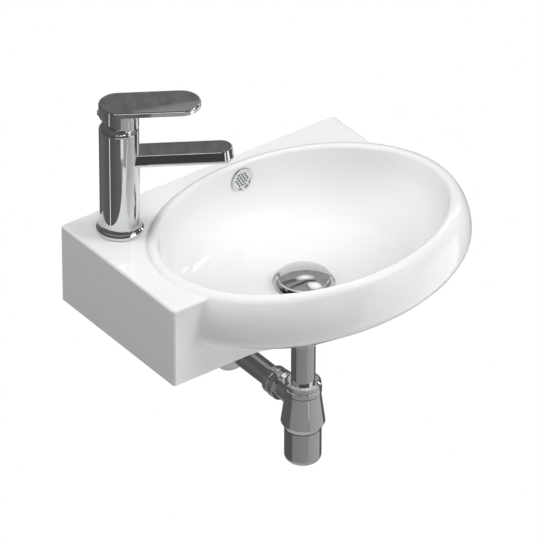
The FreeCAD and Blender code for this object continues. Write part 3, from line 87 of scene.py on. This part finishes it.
def blank_material(name: str) -> bpy.types.Material:
    """Make a material with an empty node tree.

    Args:
        name: its name.

    Returns:
        The material.
    """
    made = bpy.data.materials.new(name)
    made.use_nodes = True
    made.node_tree.nodes.clear()
    return made


# Finishes


class Run(Enum):
    """Which way a surface's unevenness is drawn out; its value shortens each axis."""

    EVEN = (1.0, 1.0, 1.0)
    ALONG_Y = (1.0, 0.02, 1.0)
    ALONG_Z = (1.0, 1.0, 0.02)
    ROUND_Z = (0.02, 0.02, 1.0)


@dataclass(frozen=True)
class Layer:
    """One kind of unevenness in real lengths: it can raise, dull or darken the surface."""

    pitch_mm: float
    depth_mm: float = 0.0
    haze: float = 0.0
    shade: float = 0.0
    run: Run = Run.EVEN
    spangled: bool = False

    def height(self, tree: bpy.types.NodeTree) -> bpy.types.NodeSocket:
        """Where the layer is high and where it is low.

        Args:
            tree: the material's node tree.

        Returns:
            Its height from about 0 to about 1.
        """
        place = add_node(tree, "ShaderNodeTexCoord").outputs["Object"]
        scale = tuple(share / (self.pitch_mm * MM) for share in self.run.value)
        spread = add_node(tree, "ShaderNodeVectorMath", {0: place, 1: scale},
                          operation="MULTIPLY").outputs[0]
        if self.spangled:
            return add_node(tree, "ShaderNodeTexVoronoi", {
                "Vector": spread, "Scale": 1.0}).outputs["Distance"]
        return add_node(tree, "ShaderNodeTexNoise", {
            "Vector": spread, "Scale": 1.0, "Detail": GRAIN_DETAIL,
            "Roughness": GRAIN_ROUGHNESS}).outputs["Fac"]


@dataclass(frozen=True)
class Finish:
    """One material: what it is, how its surface was made, and what that gives the eye."""

    name: str
    colour: str
    metallic: float
    roughness: float
    ior: float = 1.5
    layers: tuple[Layer, ...] = ()

    def material(self) -> bpy.types.Material:
        """Make the material once and return it.

        Returns:
            A Principled material with the finish's layers on it.
        """
        found = bpy.data.materials.get(self.name)
        if found:
            return found
        made = blank_material(self.name)
        tree = made.node_tree
        inputs: dict[str | int, Any] = {
            "Base Color": linear(self.colour), "Metallic": self.metallic,
            "Roughness": self.roughness}
        if not self.metallic:
            inputs["IOR"] = self.ior
        for layer in self.layers:
            self.lay(tree, inputs, layer)
        shader = add_node(tree, "ShaderNodeBsdfPrincipled", inputs)
        add_node(tree, "ShaderNodeOutputMaterial", {"Surface": shader.outputs["BSDF"]})
        return made

    @staticmethod
    def lay(tree: bpy.types.NodeTree, inputs: dict[str | int, Any], layer: Layer) -> None:
        """Put one layer over what is there.

        Args:
            tree: the material's node tree.
            inputs: the shader's inputs so far, changed here.
            layer: the layer.
        """
        height = layer.height(tree)
        if layer.haze:
            inputs["Roughness"] = add_node(tree, "ShaderNodeMath", {
                0: height, 1: layer.haze, 2: inputs["Roughness"]},
                operation="MULTIPLY_ADD").outputs[0]
        if layer.shade:
            share = add_node(tree, "ShaderNodeMath", {0: height, 1: layer.shade},
                             operation="MULTIPLY").outputs[0]
            inputs["Base Color"] = add_node(tree, "ShaderNodeMix", {
                0: share, 6: inputs["Base Color"], 7: BLACK}, data_type="RGBA").outputs[2]
        if layer.depth_mm:
            under = {"Normal": inputs["Normal"]} if "Normal" in inputs else {}
            inputs["Normal"] = add_node(tree, "ShaderNodeBump", {
                "Strength": 1.0, "Distance": layer.depth_mm * MM, "Height": height,
                **under}).outputs["Normal"]


# Vitreous china under a clear fired glaze: cool white, a wet-looking gloss, the slow waviness of
# a glaze that ran a little before it set, and fainter orange peel on top of it
CHINA = Finish("glazed_vitreous_china", "#ECEDEC", 0.0, 0.05, 1.52, (
    Layer(45.0, depth_mm=0.03, haze=0.04), Layer(5.0, depth_mm=0.0012)))
# Brass, polished and plated with bright chromium: a hard neutral mirror that still waves a little
# where the wheel went over it, with a trace of wiping haze
CHROME = Finish("polished_chromium_plate", "#DCDDDE", 1.0, 0.015, layers=(
    Layer(16.0, depth_mm=0.01), Layer(9.0, haze=0.05), Layer(0.6, depth_mm=0.0001)))
# Drawn tube plated with chromium without much polishing: the same mirror, softer, with faint
# lines along it
TUBE_CHROME = Finish("drawn_tube_chromium_plate", "#D2D3D4", 1.0, 0.05, layers=(
    Layer(0.5, depth_mm=0.0006, haze=0.05, run=Run.ALONG_Z), Layer(20.0, haze=0.04)))
# The same tube lying towards the wall: its lines run that way
PIPE_CHROME = Finish("drawn_pipe_chromium_plate", "#D2D3D4", 1.0, 0.05, layers=(
    Layer(0.5, depth_mm=0.0006, haze=0.05, run=Run.ALONG_Y), Layer(20.0, haze=0.04)))
# Moulded nitrile rubber: near black and dull, with a fine grain
RUBBER = Finish("moulded_nitrile_rubber", "#1C1C1D", 0.0, 0.6, 1.52, (
    Layer(0.4, depth_mm=0.01, haze=0.15),))
# Injection-moulded polypropylene: milky white, waxy, clouded by its flow in the mould
WHITE_PLASTIC = Finish("moulded_polypropylene", "#DCDCD6", 0.0, 0.36, 1.49, (
    Layer(8.0, haze=0.12, shade=0.05), Layer(0.5, depth_mm=0.003)))
# Injection-moulded acetal: cool grey with a satin sheen from a spark-eroded mould
GREY_PLASTIC = Finish("moulded_grey_acetal", "#8A8C8E", 0.0, 0.3, 1.48, (
    Layer(0.35, depth_mm=0.004, haze=0.1),))
# Zinc-plated steel: pale grey, cloudy, with small bright crystals
ZINC = Finish("zinc_plated_steel", "#B2B5B7", 1.0, 0.26, layers=(
    Layer(3.0, depth_mm=0.004, haze=0.12, shade=0.18, spangled=True),
    Layer(14.0, haze=0.12, shade=0.12)))
# Turned brass left bare: yellow, with the fine rings of the lathe and a little tarnish
BRASS = Finish("turned_bare_brass", "#B98F4A", 1.0, 0.22, layers=(
    Layer(0.35, depth_mm=0.003, haze=0.08, run=Run.ROUND_Z), Layer(11.0, haze=0.1, shade=0.22)))
# Lapped alumina: ivory, very smooth, with the faint clouding of sintered grain
ALUMINA = Finish("lapped_alumina_ceramic", "#EDE9DF", 0.0, 0.14, 1.76, (
    Layer(1.2, haze=0.1, shade=0.04),))


def dress(names: Iterable[str], finish: Finish, edge_mm: float = 0.0) -> None:
    """Give CAD nodes their finish, and a fine rounded edge where one is asked for.

    Args:
        names: the nodes.
        finish: what they are made of.
        edge_mm: radius of the edges, none at 0.
    """
    for name in names:
        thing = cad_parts[name]
        thing.data.materials.clear()
        thing.data.materials.append(finish.material())
        if edge_mm:
            soft = thing.modifiers.new("worn_edges", "BEVEL")
            soft.width = edge_mm * MM
            soft.segments = EDGE_SEGMENTS
            soft.limit_method = "ANGLE"
            soft.angle_limit = math.radians(EDGE_ANGLE_DEG)
            soft.harden_normals = True
        LOG.info("dressed %s with %s", name, finish.name)


# Sub-assemblies


@dataclass
class Basin:
    """The glazed casting, and the fixings that hold it to the wall."""

    glazed: Names = ("basin",)
    fixings: Names = ("wall_bolts", "wall_nuts", "wall_washers")
    sleeves: Names = ("wall_sleeves",)
    edge_mm: float = 0.4

    def build(self) -> None:
        """Dress the casting and the fixings."""
        dress(self.glazed, CHINA)
        dress(self.fixings, ZINC, self.edge_mm)
        dress(self.sleeves, WHITE_PLASTIC)


@dataclass
class Tap:
    """The mixer: body with its spout, lever, cartridge and fixing."""

    plated: Names = ("tap_body", "tap_spout", "tap_base_ring", "bonnet", "lever_handle",
                     "aerator_housing")
    moulded: Names = ("index_plug", "cartridge_housing", "aerator_insert")
    seals: Names = ("tap_gasket", "horseshoe_gasket", "aerator_seal", "cartridge_seal")
    steel: Names = ("tap_stud", "stud_nut", "horseshoe_washer", "stem", "stem_pin", "grub_screw")
    discs: Names = ("fixed_disc", "moving_disc")
    carriers: Names = ("carrier",)
    turned: Names = ("cartridge_nut", "hose_block")

    def build(self) -> None:
        """Dress what is seen and what is inside."""
        dress(self.plated, CHROME)
        dress(self.moulded, GREY_PLASTIC)
        dress(self.seals, RUBBER)
        dress(self.steel, ZINC)
        dress(self.discs, ALUMINA)
        dress(self.carriers, WHITE_PLASTIC)
        dress(self.turned, BRASS)


@dataclass
class Waste:
    """Overflow cover, push-down plug and the waste under it."""

    plated: Names = ("overflow_cover", "plug_cap", "waste_body")
    seals: Names = ("waste_upper_seal", "waste_lower_gasket", "plug_seal")
    turned: Names = ("waste_back_nut", "plug_stem")
    guides: Names = ("guide_spider",)
    springs: Names = ("plug_spring",)
    spring_foot: Point = (0.0335, -0.1605, -0.0356)
    spring_high: float = 0.0302
    spring_gives: float = 0.0064

    def build(self) -> None:
        """Dress the waste's pieces, and give the spring a mesh of its own."""
        dress(self.plated, CHROME)
        dress(self.seals, RUBBER)
        dress(self.turned, BRASS)
        dress(self.guides, WHITE_PLASTIC)
        dress(self.springs, ZINC)
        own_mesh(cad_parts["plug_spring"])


@dataclass
class Trap:
    """Tailpiece, bottle trap and outlet."""

    tubes: Names = ("tailpiece", "trap_cup")
    pipes: Names = ("outlet_pipe",)
    plated: Names = ("inlet_nut", "trap_head", "outlet_nut", "wall_rosette")
    ferrules: Names = ("inlet_ferrule", "outlet_ferrule")
    seals: Names = ("cup_gasket",)

    def build(self) -> None:
        """Dress the trap's pieces."""
        dress(self.tubes, TUBE_CHROME)
        dress(self.pipes, PIPE_CHROME)
        dress(self.plated, CHROME)
        dress(self.ferrules, WHITE_PLASTIC)
        dress(self.seals, RUBBER)


# Camera and studio


@dataclass
class Camera:
    """The photograph's view: a long lens, looking down at the left front corner."""

    yaw_deg: float = 36.73
    pitch_deg: float = 34.01
    roll_deg: float = 0.15
    focal_px: float = 7000.0
    frame_px: float = 540.0
    sensor_mm: float = 36.0
    reach: float = 100.0
    corner_mm: Point = (-199.0, 0.0, 78.0)
    corner_seen_mm: Point = (-242.6, 51.7, 8143.8)

    def build(self) -> None:
        """Place the camera so that the shelf's back left corner falls where it was seen."""
        yaw, pitch, roll = (
            math.radians(a) for a in (self.yaw_deg, self.pitch_deg, self.roll_deg))
        right = Vector((math.cos(yaw), -math.sin(yaw), 0))
        back = Vector((-math.sin(yaw) * math.cos(pitch), -math.cos(yaw) * math.cos(pitch),
                       math.sin(pitch)))
        up = back.cross(right)
        right, up = (right * math.cos(roll) + up * math.sin(roll),
                     up * math.cos(roll) - right * math.sin(roll))
        across, rise, depth = self.corner_seen_mm
        place = Vector(self.corner_mm) - right * across - up * rise + back * depth
        data = bpy.data.cameras.new("photo_camera")
        data.sensor_width = self.sensor_mm
        data.lens = self.focal_px / self.frame_px * self.sensor_mm
        data.clip_end = self.reach
        seat = bpy.data.objects.new("photo_camera", data)
        turn = Matrix((right, up, back)).transposed().to_4x4()
        seat.matrix_world = Matrix.Translation(place * MM) @ turn
        bpy.context.collection.objects.link(seat)
        bpy.context.scene.camera = seat


@dataclass(frozen=True)
class SoftBox:
    """A square soft light aimed at the bowl."""

    name: str
    place: Point
    watts: float


@dataclass(frozen=True)
class Board:
    """A bent board beside the object: seen from its post, it spans some angles and heights.

    Angles count from the camera's side of the post, towards the camera's right.
    """

    name: str
    post: Pair
    radius: float
    angles_deg: Pair
    heights: Pair
    glow: Pair
    steps: int = 24


@dataclass(frozen=True)
class Card:
    """A flat card hung where one spot on the object mirrors it.

    Its corners are in millimetres across and up, seen from the spot, and it glows from its rim
    to its middle.
    """

    name: str
    spot_mm: Point
    way: Point
    distance: float
    corners_mm: tuple[Pair, ...]
    glow: Pair
    mottle: float = 0.0
    mottle_mm: float = 20.0


SOFT_BOXES = (
    SoftBox("key_box", (2.0, -1.6, 2.0), 53.0),
    SoftBox("top_box", (0.03, -0.16, 2.6), 27.0),
    SoftBox("camera_box", (-1.3, -1.9, 1.5), 31.0),
    SoftBox("back_box", (-1.8, 1.2, 1.6), 30.0),
    SoftBox("floor_box", (0.03, -0.9, -2.2), 36.0),
    SoftBox("low_right_box", (2.2, -0.8, -0.8), 39.0))

# Upright axes of the trap and the tap, and a post under the spout's tip
TRAP_POST, TAP_POST, TIP_POST = (0.0335, -0.1605), (-0.148, -0.046), (-0.05, -0.12)
TRAP_SPAN, TAP_LOW, TAP_SPAN = (-0.42, -0.11), (-0.32, -0.185), (-0.32, 0.05)
BOARDS = (
    # Two greys down the trap, darker on the left
    Board("trap_front_board", TRAP_POST, 0.2, (-66, 28), TRAP_SPAN, (0.27, 0.34)),
    Board("trap_side_board", TRAP_POST, 0.2, (30, 118), TRAP_SPAN, (0.4, 0.52)),
    # Pale right half of the tap's body, greyer towards its top
    Board("tap_front_board", TAP_POST, 0.5, (12, 60), TAP_LOW, (0.64, 0.9)),
    Board("tap_upper_board", TAP_POST, 0.5, (12, 60), (-0.185, 0.05), (0.36, 0.46)),
    Board("tap_side_board", TAP_POST, 0.5, (62, 98), TAP_SPAN, (1.3, 1.35)),
    # Dark left half with one thin light line in it
    Board("tap_strip_board", TAP_POST, 0.5, (-55, -51.5), (-0.32, -0.02), (1.2, 1.2)),
    Board("tap_left_board", TAP_POST, 0.5, (-125, -60), TAP_SPAN, (0.17, 0.11)),
    Board("tap_dark_board", TAP_POST, 0.5, (-48, 10), TAP_SPAN, (0.1, 0.16)),
    # Light lines on the edges of the lever and the spout, and the spout's dark side
    Board("lever_side_board", TAP_POST, 0.48, (10, 24), (-0.108, -0.07), (0.85, 1.1)),
    Board("edge_board", TAP_POST, 0.25, (-20, 40), (0.264, 0.325), (2.6, 2.6)),
    Board("tip_left_board", TIP_POST, 0.5, (36, 44), (0.04, 0.125), (1.4, 1.4)),
    Board("tip_right_board", TIP_POST, 0.5, (60, 78), (0.02, 0.125), (1.2, 1.4)),
    Board("dark_board", TAP_POST, 0.6, (-25, 45), (0.0, 0.165), (0.06, 0.06)))

# A spot on the lever's top and one on the plug cap, each with the way it mirrors
LEVER_SPOT, LEVER_WAY = (-109.9, -75.3, 251.5), (0.491, 0.684, 0.539)
CAP_SPOT, CAP_WAY = (33.0, -165.0, 4.0), (0.45, 0.55, 0.70)
CARDS = (
    # Dark clouded grey on the lever's top, with a lighter wedge along its front
    Card("plate_card", LEVER_SPOT, LEVER_WAY, 0.45,
         ((-100, -76), (104, -76), (104, 30), (-100, 30)), (0.15, 0.18), 0.3, 16.0),
    Card("wedge_card", LEVER_SPOT, LEVER_WAY, 0.448,
         ((-35, 9.6), (46, -3.4), (60, 0), (48, 20), (-30, 20)), (0.27, 0.34)),
    # Grey plug cap with a bright middle, a dark streak and a light patch
    Card("cap_card", CAP_SPOT, CAP_WAY, 0.6,
         ((-360, -276), (262, -276), (262, 165), (110, 200), (50, 290),
          (-132, 312), (-192, 204), (-300, 144), (-360, 48)), (0.36, 0.36), 0.25, 72.0),
    Card("cap_glow_card", CAP_SPOT, CAP_WAY, 0.597,
         ((-115, 12), (-72, -43), (-12, -77), (84, -65),
          (96, 19), (12, 53), (-72, 67)), (0.38, 1.5)),
    Card("cap_streak_card", CAP_SPOT, CAP_WAY, 0.591,
         ((-178, 221), (-168, 182), (-58, 120), (12, 48),
          (91, 19), (115, 43), (24, 91), (-48, 163)), (0.14, 0.08)),
    Card("cap_light_card", CAP_SPOT, CAP_WAY, 0.594,
         ((29, 108), (120, 67), (154, 82), (216, 149),
          (180, 204), (72, 221), (34, 168)), (0.95, 1.5)),
    # Even grey for what the trap mirrors from below
    Card("trap_floor_card", (33.5, -160.5, -190.0), (-0.06, -0.08, -0.99), 0.45,
         ((-400, -400), (400, -400), (400, 400), (-400, 400)), (0.4, 0.5)),
    # Glints on the glaze: the front of the rim, the bowl's floor, its left side and the left rim
    Card("bright_card", (33.0, -313.0, 74.0), (0.496, -0.558, 0.663), 1.5,
         ((-330, -420), (330, -420), (330, 500), (-330, 500)), (1.5, 1.8)),
    Card("floor_spot_card", (68.5, -62.0, -0.2), (0.38, 0.014, 0.925), 1.2,
         ((-110, -50), (90, -50), (90, 50), (-110, 50)), (7.0, 9.0)),
    Card("side_spot_card", (-52.3, -73.0, 2.8), (0.805, 0.076, 0.589), 1.2,
         ((-90, -100), (90, -100), (90, 100), (-90, 100)), (6.0, 8.0)),
    Card("rim_card", (-104.4, -67.8, 81.1), (0.999, 0.04, 0.033), 1.5,
         ((-60, 60), (60, 60), (60, 500), (-60, 500)), (3.0, 3.0)))


@dataclass
class Studio:
    """A white room for the eye, soft boxes, and boards that give the plated parts their bands."""

    floor_level: float = -0.9
    room: float = 14.0
    wall_segments: int = 24
    wall_rings: int = 12
    dusk: str = "#606162"
    box_size: float = 1.6
    box_aim: Point = (0.03, -0.16, 0.05)
    towards_camera: Point = (-0.598, -0.801, 0.0)
    camera_right: Point = (0.801, -0.598, 0.0)

    @staticmethod
    def plain(name: str, shade: str, strength: float,
              one_sided: bool = False) -> bpy.types.Material:
        """A surface that gives off even light.

        Args:
            name: the material's name.
            shade: its colour.
            strength: its brightness.
            one_sided: whether it is clear from behind.

        Returns:
            The material.
        """
        made = blank_material(name)
        tree = made.node_tree
        glow = add_node(tree, "ShaderNodeEmission", {"Color": linear(shade), "Strength": strength})
        light = glow.outputs["Emission"]
        if one_sided:
            clear = add_node(tree, "ShaderNodeBsdfTransparent")
            side = add_node(tree, "ShaderNodeNewGeometry")
            light = add_node(tree, "ShaderNodeMixShader", {
                0: side.outputs["Backfacing"], 1: light,
                2: clear.outputs["BSDF"]}).outputs["Shader"]
        add_node(tree, "ShaderNodeOutputMaterial", {"Surface": light})
        return made

    @staticmethod
    def graded(name: str, glow: Pair, mottle: float = 0.0,
               mottle_mm: float = 20.0) -> bpy.types.Material:
        """A board's light, growing from one end to the other, clouded where asked.

        Args:
            name: the material's name.
            glow: brightness at its two ends.
            mottle: how far the clouds lighten and darken it, as a share.
            mottle_mm: size of the clouds.

        Returns:
            The material.
        """
        made = blank_material(name)
        tree = made.node_tree
        along = add_node(tree, "ShaderNodeAttribute", attribute_name="along")
        power = add_node(tree, "ShaderNodeMapRange", {
            "Value": along.outputs["Fac"], "To Min": glow[0],
            "To Max": glow[1]}).outputs["Result"]
        if mottle:
            place = add_node(tree, "ShaderNodeTexCoord").outputs["Object"]
            cloud = add_node(tree, "ShaderNodeTexNoise", {
                "Vector": place, "Scale": 1 / (mottle_mm * MM), "Detail": CLOUD_DETAIL,
                "Roughness": CLOUD_ROUGHNESS})
            share = add_node(tree, "ShaderNodeMapRange", {
                "Value": cloud.outputs["Fac"], "From Min": CLOUD_LOW, "From Max": CLOUD_HIGH,
                "To Min": 1 - mottle, "To Max": 1 + mottle})
            power = add_node(tree, "ShaderNodeMath", {
                0: power, 1: share.outputs["Result"]}, operation="MULTIPLY").outputs[0]
        light = add_node(tree, "ShaderNodeEmission", {"Strength": power})
        add_node(tree, "ShaderNodeOutputMaterial", {"Surface": light.outputs["Emission"]})
        return made

    def stand(self, board: Board) -> None:
        """Set up one board. It shows in reflections and lights nothing.

        Args:
            board: its place and brightness.
        """
        front, right = Vector(self.towards_camera), Vector(self.camera_right)
        start, end = board.angles_deg
        points, shares, faces = [], [], []
        for step in range(board.steps + 1):
            share = step / board.steps
            angle = math.radians(start + share * (end - start))
            way = (front * math.cos(angle) + right * math.sin(angle)) * board.radius
            for height in board.heights:
                points.append((board.post[0] + way.x, board.post[1] + way.y, height))
                shares.append(share)
            if step:
                faces.append((2 * step - 2, 2 * step, 2 * step + 1, 2 * step - 1))
        self.show(board.name, points, faces, shares, self.graded(board.name, board.glow))

    def hang(self, card: Card) -> None:
        """Hang one card. It shows in reflections and lights nothing.

        Args:
            card: its place, outline and brightness.
        """
        way = Vector(card.way).normalized()
        across = way.cross(Vector((0, 0, 1))).normalized()
        rise = across.cross(way)
        middle = Vector(card.spot_mm) * MM + way * card.distance
        points = [middle + (across * u + rise * v) * MM for u, v in card.corners_mm]
        count = len(points)
        points.append(sum(points, Vector()) / count)
        faces = [(corner, (corner + 1) % count, count) for corner in range(count)]
        paint = self.graded(card.name, card.glow, card.mottle, card.mottle_mm)
        self.show(card.name, points, faces, [0.0] * count + [1.0], paint)

    @staticmethod
    def show(name: str, points: list[Any], faces: list[tuple[int, ...]], shares: list[float],
             paint: bpy.types.Material) -> None:
        """Make a board or card that only reflections see.

        Args:
            name: its name.
            points: its corners.
            faces: its faces by corner number.
            shares: how far along the board each corner is.
            paint: its material.
        """
        mesh = bpy.data.meshes.new(name)
        mesh.from_pydata(points, [], faces)
        mesh.attributes.new("along", "FLOAT", "POINT").data.foreach_set("value", shares)
        mesh.materials.append(paint)
        thing = bpy.data.objects.new(name, mesh)
        bpy.context.collection.objects.link(thing)
        thing.visible_camera = False
        thing.visible_diffuse = False
        thing.visible_shadow = False
        thing.visible_transmission = False

    def backdrop(self) -> None:
        """Pale floor and walls as the camera sees them: no shadow falls on them."""
        mesh = bpy.data.meshes.new("pale_floor")
        far, low = self.room, self.floor_level
        mesh.from_pydata([(-far, -far, low), (far, -far, low), (far, far, low), (-far, far, low)],
                         [], [(0, 1, 2, 3)])
        mesh.materials.append(self.plain("pale_floor", WHITE, 1.0, one_sided=True))
        floor = bpy.data.objects.new("pale_floor", mesh)
        bpy.context.collection.objects.link(floor)
        bpy.ops.mesh.primitive_uv_sphere_add(
            radius=far, segments=self.wall_segments, ring_count=self.wall_rings)
        walls = bpy.context.object
        walls.name = "pale_walls"
        walls.data.materials.append(self.plain("pale_walls", WHITE, 1.0))
        for thing in (floor, walls):
            thing.visible_diffuse = False
            thing.visible_glossy = False
            thing.visible_shadow = False
            thing.visible_transmission = False

    def light(self, box: SoftBox) -> None:
        """Set up one soft box. It lights, and the boards do the mirroring.

        Args:
            box: its place and power.
        """
        data = bpy.data.lights.new(box.name, "AREA")
        data.shape = "SQUARE"
        data.size = self.box_size
        data.energy = box.watts
        thing = bpy.data.objects.new(box.name, data)
        thing.visible_glossy = False
        look = Vector(box.place) - Vector(self.box_aim)
        turn = look.to_track_quat("Z", "Y").to_matrix().to_4x4()
        thing.matrix_world = Matrix.Translation(box.place) @ turn
        bpy.context.collection.objects.link(thing)

    def room_light(self) -> None:
        """Dusky grey for what mirrors the room. It lights nothing else."""
        world = bpy.data.worlds.new("dusky_room")
        world.use_nodes = True
        tree = world.node_tree
        tree.nodes.clear()
        dusk = add_node(tree, "ShaderNodeBackground", {
            "Color": linear(self.dusk), "Strength": 1.0})
        ray = add_node(tree, "ShaderNodeLightPath")
        seen = add_node(tree, "ShaderNodeMixShader", {
            0: ray.outputs["Is Glossy Ray"], 2: dusk.outputs["Background"]})
        add_node(tree, "ShaderNodeOutputWorld", {"Surface": seen.outputs["Shader"]})
        bpy.context.scene.world = world

    def build(self) -> None:
        """Room, soft boxes, boards and cards."""
        bpy.context.scene.view_settings.view_transform = "Standard"
        self.room_light()
        self.backdrop()
        for box in SOFT_BOXES:
            self.light(box)
        for board in BOARDS:
            self.stand(board)
        for card in CARDS:
            self.hang(card)


def main() -> None:
    """Build everything in order and log each part as it is built."""
    logging.basicConfig(level=logging.INFO)
    Camera().build()
    Studio().build()
    for part in (Basin(), Tap(), Waste(), Trap()):
        part.build()
        LOG.info("built %s", type(part).__name__)


if __name__ == "__main__":
    main()
